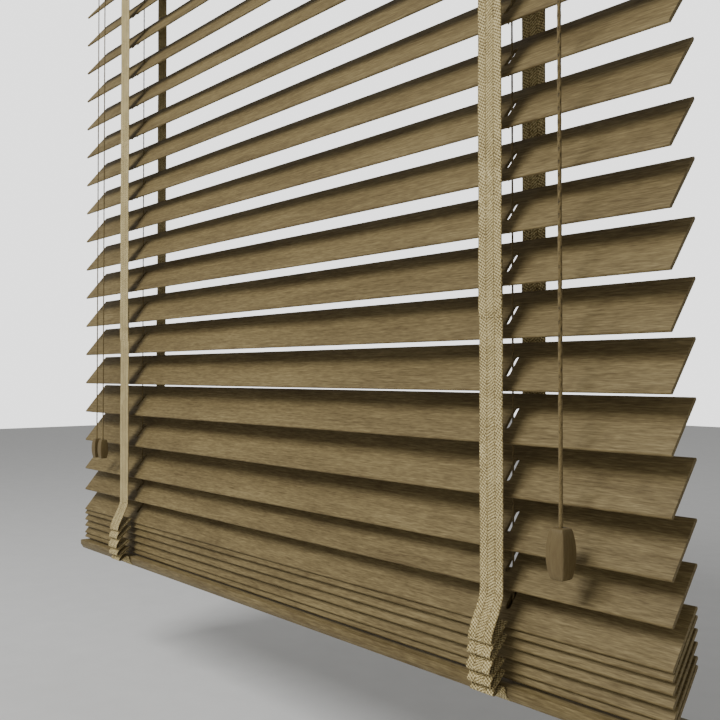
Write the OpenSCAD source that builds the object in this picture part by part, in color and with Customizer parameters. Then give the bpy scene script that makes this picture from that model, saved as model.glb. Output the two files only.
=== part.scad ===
// Wooden venetian blind, 50 mm slats, with cloth ladder tapes, in a box headrail.
// X runs along the blind, +Y towards the window, +Z up. The origin is midway between
// the four top screw holes, on the upper face of the end brackets.

/* [Blind] */
// Length of the slats and of the whole headrail
blind_w = 938; // [900:2:1200]
// Distance from each end of the blind to the centre of its ladder
ladder_inset = 148; // [130:1:170]
// Height of the first slat's centre below the top of the brackets
first_drop = 82; // [82:0.5:90]

/* [Slats] */
// Width of a slat
slat_w = 50; // [40:0.5:51]
// Thickness of a slat
slat_t = 2.8; // [2:0.1:2.9]
// Spacing of the slats that hang free
pitch = 41.5; // [36:0.5:46]
// Angle of the slats at rest, room-side edge down
slat_tilt = 50.7; // [0:0.1:60]
// Length of the cord slot, across the slat
slot_l = 22; // [14:0.5:30]
// Width of the cord slot, along the slat
slot_w = 5; // [3:0.5:8]

/* [Bottom rail] */
// Depth of the bottom rail, room to window
rail_d = 46; // [40:0.5:50]
// Thickness of the bottom rail
rail_h = 12; // [11:0.5:22]
// Bevel along the lower edges, inwards
rail_bevel_in = 4; // [2:0.5:8]
// Bevel along the lower edges, upwards
rail_bevel_up = 6; // [3:0.5:8]
// Gap from the last slat's centre to the top of the rail
rail_gap = 22.6; // [22.4:0.1:30]

/* [Ladder tapes] */
// Width of a ladder tape
tape_w = 24; // [18:0.5:30]
// Thickness of a ladder tape
tape_t = 0.8; // [0.5:0.1:1.2]
// Distance of the tapes in front of and behind the slat centres
tape_y = 26.5; // [26.5:0.1:28.5]

/* [Headrail] */
// Depth of the headrail, room to window
head_d = 62; // [62:0.5:70]
// Height of the headrail
head_h = 50; // [48:0.5:56]
// Sheet thickness of the headrail
head_t = 1; // [0.6:0.1:1.4]
// Inward lip along the open top of the headrail
head_lip = 6; // [3:0.5:10]
// Thickness of an end cap's flange
cap_t = 2; // [1.5:0.1:3]
// Height of the valance board
valance_h = 76; // [60:1:90]
// Thickness of the valance board
valance_t = 8; // [6:0.5:12]

/* [Brackets] */
// Width of a bracket along the headrail
bracket_w = 40; // [34:1:50]
// Sheet thickness of a bracket
bracket_t = 1.2; // [1:0.1:2]
// Diameter of a screw hole
screw_hole_d = 4.5; // [4:0.1:5.5]
// Spacing of a bracket's two screw holes
screw_gap = 24; // [18:0.5:30]

/* [Tilt gear] */
// Width across flats of the tilt rod
rod_af = 6; // [5:0.1:7]
// Radius of a tilt drum
drum_r = 14; // [10:0.1:15]
// Radius at which the tilt cord's centre wraps the tilt spool
spool_r = 9.75; // [8:0.05:12]
// Radial clearance of every turning fit
run_gap = 0.05; // [0.02:0.01:0.08]

/* [Tassels] */
// Width of the lift tassel at its middle
lift_tassel_w = 16; // [12:0.5:20]
// Height of the lift tassel
lift_tassel_h = 37; // [30:0.5:45]
// Width of a tilt tassel at its middle
tilt_tassel_w = 11; // [8:0.5:14]
// Height of a tilt tassel
tilt_tassel_h = 26; // [20:0.5:32]

/* [Hidden] */
SLAT_NODES = ["slat_01", "slat_02", "slat_03", "slat_04", "slat_05", "slat_06", "slat_07", "slat_08",
    "slat_09", "slat_10", "slat_11", "slat_12", "slat_13", "slat_14", "slat_15", "slat_16",
    "slat_17", "slat_18", "slat_19", "slat_20", "slat_21", "slat_22", "slat_23", "slat_24", "slat_25"];
SPAN_NODES = ["ladder_span_14", "ladder_span_15", "ladder_span_16",
    "ladder_span_17", "ladder_span_18", "ladder_span_19"];

$fn = 48;
eps = 0.01;          // how far a cut runs past the face that it opens
reach = 100;         // longer than any wall that a cut goes through

wood = "#7a6a49";
dark_wood = "#6b5638";
cloth = "#a8997a";
enamel = "#e8e4da";
plastic = "#efece4";
steel = "#b7babd";
string = "#cbbd9c";

// The lower slats: the gaps above slats 19 to 25 close up, where the blind is part raised
free_slats = 18;
closing_gaps = [30.8, 29.3, 6, 8.9, 9, 9.9, 6.1];
slat_count = free_slats + len(closing_gaps);
// The slats below this one are carried up when the blind is raised
last_still_slat = 13;

function sum_to(list, n) = n <= 0 ? 0 : list[n - 1] + sum_to(list, n - 1);
function slat_z(n) = -first_drop - pitch * (min(n, free_slats) - 1) - sum_to(closing_gaps, n - free_slats);

ladder_x = blind_w / 2 - ladder_inset;
sides = [-1, 1];

// Headrail section
head_top = -2;
head_floor = head_top - head_h;
head_face = head_d / 2;
head_l = blind_w - 2 * cap_t;
head_in = head_face - head_t;
cap_plug = 6;
cap_gap = 0.3;

// Box brackets: room for the screw heads between bracket and headrail
head_room = 1.8;
rest_gap = 0.3;
bracket_end = blind_w / 2 + head_room + bracket_t;
bracket_back = head_face + head_room + bracket_t;
bracket_front = head_face + 1;
bracket_foot = head_floor - rest_gap - bracket_t;
screw_x = bracket_end - bracket_w / 2;
screw_z = (head_top + head_floor) / 2;

// Tape slots in the headrail floor
slot_gap_x = 1.5;
tape_slot_w = 3.6;

// Tilt shaft and what it turns in
rod_z = head_top - 26;
rod_hole_gap = 0.05;
hub_r = 7;
drum_l = 27;
hub_gap = 0.5;
cradle_wall = 2;
cradle_half = drum_l / 2 + hub_gap + cradle_wall;
cradle_depth = 40;
cradle_base = 2;
cradle_top = rod_z + 11;
cord_notch_w = 14;
cord_notch_h = 6;
cord_hole_r = 3;

// Tilter: a spool in front of the headrail turns a worm across the rod
tilter_x = -blind_w / 2 + 90.75;
wheel_r = 9;
wheel_l = 10;
worm_r = 5;
worm_mesh_gap = 0.3;
worm_z = rod_z - wheel_r - worm_r - worm_mesh_gap;
worm_shaft_r = 3;
worm_l = 24;
tilter_half = 20;
tilter_wall = 2;
tilter_back = 14;
tilter_front = -head_in + 0.1;
tilter_top = head_top - 4;
spool_l = 6;
spool_y = -35;
spool_flange_r = spool_r + 1.35;
rod_end_left = tilter_x - tilter_half - 4;
rod_end_right = ladder_x + cradle_half + 6;

// Cord lock: a pulley between two cheeks in front of the headrail
lock_pull_x = blind_w / 2 - 75.5;
pulley_r = 8;
pulley_x = lock_pull_x - pulley_r;
pulley_z = head_top - 42.5;
pulley_l = 5;
pulley_pin_r = 2;
pin_short = 0.2;
cheek_t = 1.2;
cheek_gap = 5.6;
cheek_y = spool_y;
lock_left = pulley_x - 33;
lock_right = lock_pull_x + 12;
lock_top = pulley_z + 15;
lock_foot = pulley_z - 13;
neck_x = pulley_x - 22;
neck_w = 17;
neck_h = 10.6;
neck_z = pulley_z + 6;
neck_wall = 1.6;
neck_gap = 0.2;
dog_x = lock_pull_x + 6.2;
dog_z = pulley_z - 4;
dog_pin_r = 1.5;
dog_r = 3;

// Cord sizes
lift_cord_d = 1.6;
pull_cord_d = 3;
tilt_cord_d = 1.6;
cord_sides = 8;

// Cord routes, from the headrail down
lift_left_route = [[356.6, -25.6, -40.6], [348, -18, -43.4], [338, -6, -45.8], [330, -2.4, -46],
    [-314, -2.4, -46], [-317, -2.2, -46.6], [-319.5, -1, -48.6], [-321, 0, -52], [-321, 0, -100], [-321, 0, -917]];
lift_right_route = [[357.9, -24.2, -40.6], [349, -15.8, -43.4], [340, -3.4, -45.8], [334, 0, -46],
    [328, 0, -46], [324.6, 0, -46.7], [322, 0, -49], [321, 0, -52], [321, 0, -100], [321, 0, -917]];
pull_route = [[357.5, -25, -40.6], [361, -28, -39.4], [366, -31.6, -38], [372, -34.2, -37], [378, -35, -36.6],
    [385.5, -35, -36.5], [388.6, -35, -37.1], [391.2, -35, -38.8], [392.9, -35, -41.4], [393.5, -35, -44.5],
    [393.5, -35, -60], [393.5, -35, -200], [393.5, -35, -400], [393.5, -35, -600], [393.5, -35, -786]];
tilt_left_route = [[-378.7, -35, -32.55], [-382, -35, -33.3], [-385.2, -35, -35.4], [-387.3, -35, -38.6],
    [-388, -35, -42.3], [-388, -35, -60], [-388, -35, -250], [-388, -35, -500], [-388, -35, -764]];
tilt_right_route = [[-377.8, -35, -32.55], [-374.5, -35, -33.3], [-371.3, -35, -35.4], [-369.2, -35, -38.6],
    [-368.5, -35, -42.3], [-368.5, -35, -60], [-368.5, -35, -250], [-368.5, -35, -500], [-368.5, -35, -764]];

// Tassels hang at these heights, measured from the brackets
lift_tassel_top = -778.5;
tilt_tassel_top = -758;
tilt_cord_x = [tilter_x - spool_r, tilter_x + spool_r];
tassel_end_share = 0.68;
tassel_bore_gap = 0.5;

// Bottom rail
rail_top = slat_z(slat_count) - rail_gap;
rail_foot = rail_top - rail_h;
rail_hole_r = 3;
button_r = 9.7;
button_lip_r = 11;
button_in = 3.5;
button_lip = 2;
button_gap = 0.3;

// Ladder tapes: where the strips begin and end
tape_gap = 0.3;
front_tape_top = head_floor + 4;
rear_tape_top = head_top - 6;
fold_neck = slat_z(20) + 9;
fold_y = slat_w / 2 + 0.6;
fold_out = 14.5;

// Valance
valance_y = head_face + 15;
valance_top = head_top - 1;
clip_x = [-240, 0, 240];
clip_w = 20;
clip_t = 1.5;
clip_h = 24;

// Section of a slat, laid flat: width along Y, thickness along Z, drawn as [Y, Z]
module slat_section() {
    square([slat_w - slat_t, slat_t], center = true);
    for (side = sides) translate([side * (slat_w - slat_t) / 2, 0]) circle(d = slat_t);
}

// Extrudes a [Y, Z] outline along X, centred on x = 0
module along_x(length) {
    rotate([90, 0, 90]) translate([0, 0, -length / 2]) linear_extrude(length) children();
}

// A shaft or a bore along X
module bar_x(r, length) {
    rotate([0, 90, 0]) cylinder(r = r, h = length, center = true);
}

// A bore along Y, centred
module bar_y(r, length) {
    rotate([90, 0, 0]) cylinder(r = r, h = length, center = true);
}

// A pin that spans the cord lock's cheeks and stops short of the headrail
module lock_pin(r) {
    rotate([-90, 0, 0]) translate([0, 0, -cheek_gap / 2 - cheek_t])
        cylinder(r = r, h = cheek_gap + 2 * cheek_t - pin_short);
}

// The tilt rod's own section, with a clearance all round
module hex_x(length, gap) {
    rotate([0, 90, 0]) cylinder(d = (rod_af + 2 * gap) / cos(30), h = length, $fn = 6, center = true);
}

// A box from one corner to the other
module block(low, high) {
    translate(low) cube(high - low);
}

// A cord: rings of points square to the route, joined side by side
function unit(v) = v / norm(v);
function heading(route, i) = unit(route[min(i + 1, len(route) - 1)] - route[max(i - 1, 0)]);
function side_of(t) = unit(cross(t, abs(t[1]) < 0.9 ? [0, 1, 0] : [1, 0, 0]));
function ring(centre, t, r) = let (a = side_of(t), b = cross(t, a))
    [for (k = [0 : cord_sides - 1]) centre + r * (a * cos(360 * k / cord_sides) + b * sin(360 * k / cord_sides))];

module cord(route, d) {
    last = len(route) - 1;
    points = [for (i = [0 : last]) each ring(route[i], heading(route, i), d / 2)];
    walls = [for (i = [0 : last - 1], k = [0 : cord_sides - 1]) let (
        a = i * cord_sides + k, b = i * cord_sides + (k + 1) % cord_sides) [a, b, b + cord_sides, a + cord_sides]];
    start = [for (k = [cord_sides - 1 : -1 : 0]) k];
    end = [for (k = [0 : cord_sides - 1]) last * cord_sides + k];
    color(string) polyhedron([for (p = points) p], concat([start], walls, [end]), convexity = 10);
}

module slat(n) {
    color(wood) translate([0, 0, slat_z(n)]) rotate([slat_tilt, 0, 0]) difference() {
        along_x(blind_w) slat_section();
        for (side = sides) translate([side * ladder_x, 0, -slat_t]) linear_extrude(2 * slat_t) {
            square([slot_w, slot_l - slot_w], center = true);
            for (end = sides) translate([0, end * (slot_l - slot_w) / 2]) circle(d = slot_w);
        }
    }
}

module headrail() {
    color(enamel) difference() {
        along_x(head_l) difference() {
            translate([-head_face, head_floor]) square([head_d, head_h]);
            translate([-head_in, head_floor + head_t]) square([2 * head_in, head_h - 2 * head_t]);
            translate([-head_face + head_lip, head_top - 2 * head_t]) square([head_d - 2 * head_lip, 3 * head_t]);
        }
        for (side = sides) translate([side * ladder_x, 0, head_floor]) {
            for (face = sides) translate([0, face * tape_y, 0])
                cube([tape_w + 2 * slot_gap_x, tape_slot_w, 4 * head_t], center = true);
            cylinder(r = cord_hole_r + 1, h = 4 * head_t, center = true);
        }
        translate([tilter_x, -head_face, worm_z]) bar_y(worm_shaft_r + 1, 4 * head_t);
        translate([neck_x, -head_face, neck_z]) cube([neck_w, 4 * head_t, neck_h], center = true);
    }
}

module headrail_end_caps() {
    color(plastic) for (side = sides) mirror([side < 0 ? 1 : 0, 0, 0]) {
        block([head_l / 2, -head_face, head_floor], [head_l / 2 + cap_t, head_face, head_top]);
        block([head_l / 2 - cap_plug, -head_in + cap_gap, head_floor + head_t + cap_gap],
            [head_l / 2, head_in - cap_gap, head_top - head_t - cap_gap]);
    }
}

// One box bracket, drawn for the right-hand end
module box_bracket() {
    inner_end = bracket_end - bracket_t;
    inner_back = bracket_back - bracket_t;
    near = bracket_end - bracket_w;
    difference() {
        block([near, -bracket_front, bracket_foot], [bracket_end, bracket_back, 0]);
        block([near - 1, -bracket_front - 1, bracket_foot + bracket_t], [inner_end, inner_back, -bracket_t]);
        for (row = sides) {
            translate([screw_x, row * screw_gap / 2, 0]) cylinder(d = screw_hole_d, h = 4 * bracket_t, center = true);
            translate([screw_x, bracket_back, screw_z + row * screw_gap / 2]) bar_y(screw_hole_d / 2, 4 * bracket_t);
            translate([bracket_end, row * screw_gap / 2, screw_z]) bar_x(screw_hole_d / 2, 4 * bracket_t);
        }
    }
}

module bracket_left() {
    color(enamel) mirror([1, 0, 0]) box_bracket();
}

module bracket_right() {
    color(enamel) box_bracket();
}

// Front gates that close the brackets, each with a turned-out foot to pull it by
module bracket_gates() {
    foot = 4;
    color(enamel) for (side = sides) mirror([side < 0 ? 1 : 0, 0, 0]) {
        block([bracket_end - bracket_w, -bracket_front - bracket_t, bracket_foot], [bracket_end, -bracket_front, 0]);
        block([bracket_end - bracket_w, -bracket_front - foot, bracket_foot - bracket_t],
            [bracket_end, -bracket_front, bracket_foot]);
    }
}

module valance() {
    color(wood) block([-blind_w / 2, -valance_y - valance_t, valance_top - valance_h],
        [blind_w / 2, -valance_y, valance_top]);
}

// Clips that hook over the headrail's front lip and hold the valance's back
module valance_clips() {
    hook = 5;
    color(plastic) for (x = clip_x) translate([x - clip_w / 2, 0, 0]) {
        block([0, -valance_y, head_top - clip_h], [clip_w, -valance_y + clip_t, head_top]);
        block([0, -head_face - clip_t, head_top - clip_h], [clip_w, -head_face, head_top]);
        block([0, -valance_y, head_top - clip_h / 2], [clip_w, -head_face, head_top - clip_h / 2 + clip_t]);
        block([0, -head_face - clip_t, head_top], [clip_w, -head_face + hook, head_top + clip_t / 2]);
    }
}

// Open-topped gear case, with bearings for the rod's wheel hub and for the worm's shaft
module tilter_case() {
    color(plastic) difference() {
        block([tilter_x - tilter_half, tilter_front, head_floor + head_t],
            [tilter_x + tilter_half, tilter_back, tilter_top]);
        block([tilter_x - tilter_half + tilter_wall, tilter_front + tilter_wall, head_floor + head_t + tilter_wall],
            [tilter_x + tilter_half - tilter_wall, tilter_back - tilter_wall, tilter_top + 1]);
        translate([tilter_x, 0, rod_z]) bar_x(hub_r + run_gap, 3 * tilter_half);
        translate([tilter_x, 0, worm_z]) bar_y(worm_shaft_r + run_gap, reach);
    }
}

// Cradles that stand on the headrail floor and carry the drums by their hubs
module drum_cradles() {
    color(plastic) for (side = sides) translate([side * ladder_x, 0, 0]) difference() {
        block([-cradle_half, -cradle_depth / 2, head_floor + head_t], [cradle_half, cradle_depth / 2, cradle_top]);
        block([-cradle_half + cradle_wall, -cradle_depth, head_floor + head_t + cradle_base],
            [cradle_half - cradle_wall, cradle_depth, 0]);
        translate([0, 0, rod_z]) bar_x(hub_r + run_gap, reach);
        block([-reach, -cord_notch_w / 2, head_floor + head_t + cradle_base],
            [reach, cord_notch_w / 2, head_floor + head_t + cradle_base + cord_notch_h]);
        translate([0, 0, head_floor]) cylinder(r = cord_hole_r, h = 8 * head_t, center = true);
    }
}

// Cheeks in front of the headrail, with a hollow neck through its wall to a flange inside
module cord_lock_case() {
    near = -head_face;
    cheek_in = cheek_y + cheek_gap / 2;
    cheek_out = cheek_y - cheek_gap / 2;
    color(plastic) difference() {
        union() {
            block([lock_left, cheek_out - cheek_t, lock_foot], [lock_right, near, lock_top]);
            translate([neck_x, -head_face + 1, neck_z])
                cube([neck_w - 2 * neck_gap, 6, neck_h - 2 * neck_gap], center = true);
            block([neck_x - neck_w / 2 - 4, -head_in, neck_z - neck_h / 2 - 4],
                [neck_x + neck_w / 2 + 4, -head_in + cheek_t, neck_z + neck_h / 2 + 4]);
        }
        block([lock_left - 1, cheek_out, lock_foot - 1], [lock_right - cheek_t, cheek_in, lock_top - cheek_t]);
        translate([neck_x, -head_face, neck_z])
            cube([neck_w - 2 * neck_gap - 2 * neck_wall, 14, neck_h - 2 * neck_gap - 2 * neck_wall], center = true);
        translate([pulley_x, cheek_y, pulley_z]) bar_y(pulley_pin_r + run_gap, 14);
        translate([dog_x, cheek_y, dog_z]) bar_y(dog_pin_r + run_gap, 14);
    }
}

module tilt_rod() {
    length = rod_end_right - rod_end_left;
    color(steel) translate([(rod_end_left + rod_end_right) / 2, 0, rod_z]) hex_x(length, 0);
}

module worm_wheel() {
    color(plastic) translate([tilter_x, 0, rod_z]) difference() {
        union() {
            bar_x(wheel_r, wheel_l);
            bar_x(hub_r, 2 * tilter_half + 1);
        }
        hex_x(reach, rod_hole_gap);
    }
}

// Drums that wind the tapes, between the cradle walls
module tilt_drums() {
    color(plastic) for (side = sides) translate([side * ladder_x, 0, rod_z]) difference() {
        union() {
            bar_x(drum_r, drum_l);
            bar_x(hub_r, 2 * cradle_half + 2);
        }
        hex_x(reach, rod_hole_gap);
    }
}

// Cord spool, shaft and worm, along Y
module worm_spool() {
    groove_r = spool_r - tilt_cord_d / 2 - 0.2;
    rim = 1.2;
    color(plastic) translate([tilter_x, 0, worm_z]) rotate([-90, 0, 0]) rotate_extrude() polygon([
        [0, spool_y - spool_l / 2], [spool_flange_r, spool_y - spool_l / 2],
        [spool_flange_r, spool_y - spool_l / 2 + rim], [groove_r, spool_y - spool_l / 2 + rim + 0.8],
        [groove_r, spool_y + spool_l / 2 - rim - 0.8], [spool_flange_r, spool_y + spool_l / 2 - rim],
        [spool_flange_r, spool_y + spool_l / 2], [worm_shaft_r, spool_y + spool_l / 2],
        [worm_shaft_r, -worm_l / 2], [worm_r, -worm_l / 2 + 1], [worm_r, worm_l / 2 - 2],
        [worm_shaft_r, worm_l / 2 - 1], [worm_shaft_r, tilter_back + 1], [0, tilter_back + 1]]);
}

module cord_lock_pulley() {
    groove_r = pulley_r - pull_cord_d / 2 - 0.3;
    rim_r = pulley_r + 0.6;
    half = pulley_l / 2;
    color(steel) translate([pulley_x, cheek_y, pulley_z]) {
        rotate([90, 0, 0]) rotate_extrude() polygon([[0, -half], [rim_r, -half], [rim_r, 0.6 - half],
            [groove_r, 1 - half], [groove_r, half - 1], [rim_r, half - 0.6], [rim_r, half], [0, half]]);
        lock_pin(pulley_pin_r);
    }
}

// Locking dog: a finger beside the pull cord, on its own pin, with a weight that closes it
module cord_lock_dog() {
    half = pulley_l / 2;
    color(steel) translate([dog_x, cheek_y, dog_z]) {
        lock_pin(dog_pin_r);
        bar_y(dog_r, pulley_l);
        block([-4.2, -half, -5], [0, half, -2.6]);
        block([0, -half, -2], [3.8, half, 4]);
    }
}

// A pair of tape strips, one on each ladder, between two heights
module tape_pair(face, low, high) {
    for (side = sides) translate([side * ladder_x, face * tape_y, (low + high) / 2])
        cube([tape_w, tape_t, high - low], center = true);
}

module front_tapes() {
    color(cloth) tape_pair(-1, slat_z(last_still_slat) + tape_gap, front_tape_top);
}

module rear_tapes() {
    color(cloth) tape_pair(1, slat_z(last_still_slat) + tape_gap, rear_tape_top);
}

// The four strips between two neighbouring slats, carried by the lower one
module ladder_span(n) {
    color(cloth) for (face = sides) tape_pair(face, slat_z(n) + tape_gap, slat_z(n - 1));
}

// Gathered folds of spare tape in front of and behind the stack, as plain closed solids
module tape_folds() {
    face = rail_d / 2;
    out = tape_y + fold_out;
    color(cloth) for (side = sides, row = sides) translate([side * ladder_x, 0, 0])
        mirror([0, row > 0 ? 1 : 0, 0]) along_x(tape_w) polygon([
        [-tape_y + tape_t / 2, slat_z(19)], [-tape_y - tape_t / 2, slat_z(19)],
        [-tape_y - tape_t / 2, fold_neck], [-out + 2, fold_neck - 30], [-out, fold_neck - 38],
        [-out, rail_top], [-out + 4, rail_foot + 6], [-face - 1, rail_foot + 4],
        [-face, rail_foot + rail_bevel_up], [-face, rail_top], [-fold_y, rail_top + 2],
        [-fold_y, fold_neck - 6], [-tape_y + tape_t / 2, fold_neck]]);
}

module bottom_rail() {
    half = rail_d / 2;
    color(wood) difference() {
        along_x(blind_w) polygon([[-half, rail_top], [half, rail_top], [half, rail_foot + rail_bevel_up],
            [half - rail_bevel_in, rail_foot], [-half + rail_bevel_in, rail_foot], [-half, rail_foot + rail_bevel_up]]);
        for (side = sides) translate([side * ladder_x, 0, 0]) {
            translate([0, 0, rail_foot - eps]) cylinder(r = rail_hole_r, h = rail_h + 2 * eps);
            translate([0, 0, rail_foot - eps]) cylinder(r = button_r + button_gap, h = button_in + button_gap + eps);
        }
    }
}

// Plugs that cover the cord knots under the rail
module rail_buttons() {
    color(plastic) for (side = sides) translate([side * ladder_x, 0, rail_foot]) {
        cylinder(r = button_r, h = button_in);
        translate([0, 0, -button_lip]) cylinder(r = button_lip_r, h = button_lip);
    }
}

// A square wooden barrel, hung by its top, with a bore for its cord
module tassel(x, top, width, height, cord_d) {
    end_half = tassel_end_share * width / 2;
    outline = [[-end_half, 0], [-width / 2, -0.42 * height], [-width / 2, -0.58 * height], [-end_half, -height],
        [end_half, -height], [width / 2, -0.58 * height], [width / 2, -0.42 * height], [end_half, 0]];
    color(dark_wood) translate([x, spool_y, top]) difference() {
        intersection() {
            rotate([90, 0, 0]) translate([0, 0, -width / 2]) linear_extrude(width) polygon(outline);
            along_x(width) polygon(outline);
        }
        translate([0, 0, -height / 2]) cylinder(d = cord_d + 2 * tassel_bore_gap, h = 2 * height, center = true);
    }
}

headrail();
headrail_end_caps();
bracket_left();
bracket_right();
bracket_gates();
valance();
valance_clips();
tilter_case();
drum_cradles();
cord_lock_case();
cord(lift_left_route, lift_cord_d);  // lift_cord_left
cord(lift_right_route, lift_cord_d);  // lift_cord_right
cord(pull_route, pull_cord_d);  // pull_cord
cord(tilt_left_route, tilt_cord_d);  // tilt_cord_left
cord(tilt_right_route, tilt_cord_d);  // tilt_cord_right
tilt_rod();
worm_wheel();
tilt_drums();
worm_spool();
cord_lock_pulley();
cord_lock_dog();
front_tapes();
rear_tapes();
tassel(tilt_cord_x[0], tilt_tassel_top, tilt_tassel_w, tilt_tassel_h, tilt_cord_d);  // tilt_tassel_left
tassel(tilt_cord_x[1], tilt_tassel_top, tilt_tassel_w, tilt_tassel_h, tilt_cord_d);  // tilt_tassel_right
tassel(lock_pull_x, lift_tassel_top, lift_tassel_w, lift_tassel_h, pull_cord_d);  // lift_tassel
tape_folds();
bottom_rail();
rail_buttons();
for (i = [0 : len(SPAN_NODES) - 1])
    ladder_span(last_still_slat + 1 + i);
for (i = [0 : len(SLAT_NODES) - 1])
    slat(i + 1);
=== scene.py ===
# %% [markdown]
# # A wooden venetian blind
# A venetian blind is a pile of thin wooden slats that hang in cloth ladders. Turning the ladders
# tilts the slats, and two cords through the slats lift them on the bottom rail. Here the working
# model gives every size and place, and Blender adds what makes it look real: rounded wood with
# grain, woven tape with its folds, braided cord and turned tassels.

# %% Load the frame
import math

import bmesh
import bpy
import numpy as np
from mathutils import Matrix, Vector


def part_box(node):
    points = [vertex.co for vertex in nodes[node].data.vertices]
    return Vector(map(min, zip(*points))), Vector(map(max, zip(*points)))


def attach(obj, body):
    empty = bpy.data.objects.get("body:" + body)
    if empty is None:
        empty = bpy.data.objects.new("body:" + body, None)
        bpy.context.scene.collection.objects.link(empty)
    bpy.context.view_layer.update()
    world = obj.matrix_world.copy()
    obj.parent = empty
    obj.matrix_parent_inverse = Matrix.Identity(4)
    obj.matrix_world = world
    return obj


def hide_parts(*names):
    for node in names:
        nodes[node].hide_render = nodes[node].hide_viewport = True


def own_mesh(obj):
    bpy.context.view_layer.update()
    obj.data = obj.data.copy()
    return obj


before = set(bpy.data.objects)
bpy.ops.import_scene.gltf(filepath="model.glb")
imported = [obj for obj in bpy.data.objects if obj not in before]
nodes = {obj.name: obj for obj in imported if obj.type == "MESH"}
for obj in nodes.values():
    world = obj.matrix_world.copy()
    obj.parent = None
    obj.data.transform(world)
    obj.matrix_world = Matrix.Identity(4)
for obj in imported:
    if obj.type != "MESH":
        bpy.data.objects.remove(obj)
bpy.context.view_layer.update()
MM = 0.001

# %% [markdown]
# Sizes come from the frame where a node's box gives them, so a change to the model carries over.
# The rest are the driving sizes of the blind, in metres.

# %% Sizes
SLAT_COUNT = 25
LAST_STILL_SLAT = 13
STACKED_FROM = 20
SLAT_W = 50 * MM
SLAT_T = 2.8 * MM
SLAT_TILT = math.radians(50.7)
SLOT_L = 22 * MM
SLOT_W = 5 * MM
TAPE_W = 24 * MM
TAPE_T = 0.9 * MM


def centre(node):
    low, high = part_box(node)
    return (low + high) / 2


slat_names = [f"slat_{i:02d}" for i in range(1, SLAT_COUNT + 1)]
slat_z = {i + 1: centre(name).z for i, name in enumerate(slat_names)}
slat_low, slat_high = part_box("slat_01")
blind_w = slat_high.x - slat_low.x
tape_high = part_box("front_tapes")[1]
ladder_x = tape_high.x - TAPE_W / 2
tape_y = -centre("front_tapes").y
rail_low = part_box("bottom_rail")[0]
print("slats", round(blind_w, 4), "long; ladders at", round(ladder_x, 4))
print("tapes", round(tape_y, 4), "from the middle")

# %% [markdown]
# The camera stands beyond the blind's right end and looks along it, a little upwards, so the
# slats run away to the left. It is made before the pieces.

# %% Camera
CAMERA_PLACE = (0.7816, -0.5548, -0.6692)
CAMERA_HEADING = math.radians(40.5)
CAMERA_RISE = math.radians(0.93)
CAMERA_LENS = 44.245
camera_data = bpy.data.cameras.new("camera")
camera_data.lens = CAMERA_LENS
camera_data.sensor_width = 36
camera = bpy.data.objects.new("camera", camera_data)
bpy.context.scene.collection.objects.link(camera)
camera.location = CAMERA_PLACE
level = math.cos(CAMERA_RISE)
look = Vector((-math.cos(CAMERA_HEADING) * level, math.sin(CAMERA_HEADING) * level,
               math.sin(CAMERA_RISE)))
camera.rotation_euler = look.to_track_quat("-Z", "Y").to_euler()
bpy.context.scene.camera = camera
print("camera at", [round(x, 3) for x in camera.location])

# %% [markdown]
# A node tree can be written like a sum. This class wraps one socket, and its operators add the
# Math nodes, so `1 - mask * 0.5` builds two nodes. The same class serves shaders and geometry.

# %% Node sums
class Socket:
    def __init__(self, graph, socket):
        self.graph = graph
        self.socket = socket

    def out(self, name):
        return Socket(self.graph, self.socket.node.outputs[name])

    def math(self, operation, *others):
        values = dict(enumerate((self, *others)))
        return self.graph.add("ShaderNodeMath", {"operation": operation}, values)

    def __add__(self, other):
        return self.math("ADD", other)

    def __sub__(self, other):
        return self.math("SUBTRACT", other)

    def __mul__(self, other):
        return self.math("MULTIPLY", other)

    def __truediv__(self, other):
        return self.math("DIVIDE", other)

    def __rsub__(self, other):
        values = {0: other, 1: self}
        return self.graph.add("ShaderNodeMath", {"operation": "SUBTRACT"}, values)

    __radd__ = __add__
    __rmul__ = __mul__


class Graph:
    def __init__(self, tree):
        self.tree = tree
        tree.nodes.clear()

    def add(self, kind, settings=None, sockets=None, out=0):
        node = self.tree.nodes.new(kind)
        for key, value in (settings or {}).items():
            if key == "stops":
                self.stops(node.color_ramp, value)
            else:
                setattr(node, key, value)
        for key, value in (sockets or {}).items():
            target = node.inputs[key]
            if isinstance(value, Socket):
                self.tree.links.new(value.socket, target)
            else:
                target.default_value = value
        return Socket(self, node.outputs[out]) if len(node.outputs) else node

    @staticmethod
    def stops(ramp, stops):
        while len(ramp.elements) < len(stops):
            ramp.elements.new(1)
        for element, (place, colour) in zip(ramp.elements, stops):
            element.position = place
            element.color = colour

    def vector(self, x, y, z):
        return self.add("ShaderNodeCombineXYZ", None, {0: x, 1: y, 2: z})

    def split(self, vector):
        parts = self.add("ShaderNodeSeparateXYZ", None, {0: vector})
        return parts, parts.out("Y"), parts.out("Z")

    def mix(self, factor, a, b):
        """Blends two colours. Inputs 6 and 7 and output 2 are the Mix node's colour ones."""
        return self.add("ShaderNodeMix", {"data_type": "RGBA"}, {0: factor, 6: a, 7: b}, out=2)


print("node sums ready")

# %% [markdown]
# Colours are chosen as they look on a screen and turned into the linear light that a shader
# works in.

# %% Colours
def linear_light(level):
    share = level / 255
    return share / 12.92 if level <= 10 else ((share + 0.055) / 1.055) ** 2.4


def colour(red, green, blue):
    return (linear_light(red), linear_light(green), linear_light(blue), 1)


print("mid brown is", [round(c, 3) for c in colour(120, 105, 73)])

# %% [markdown]
# Oiled wood: fine pores that are long along the grain, a slower wavy figure, and a broad drift
# of tone from board to board. Noise stretched along the grain gives each of them. The same
# pattern lifts the surface a little, so that the grain catches the light.

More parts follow.
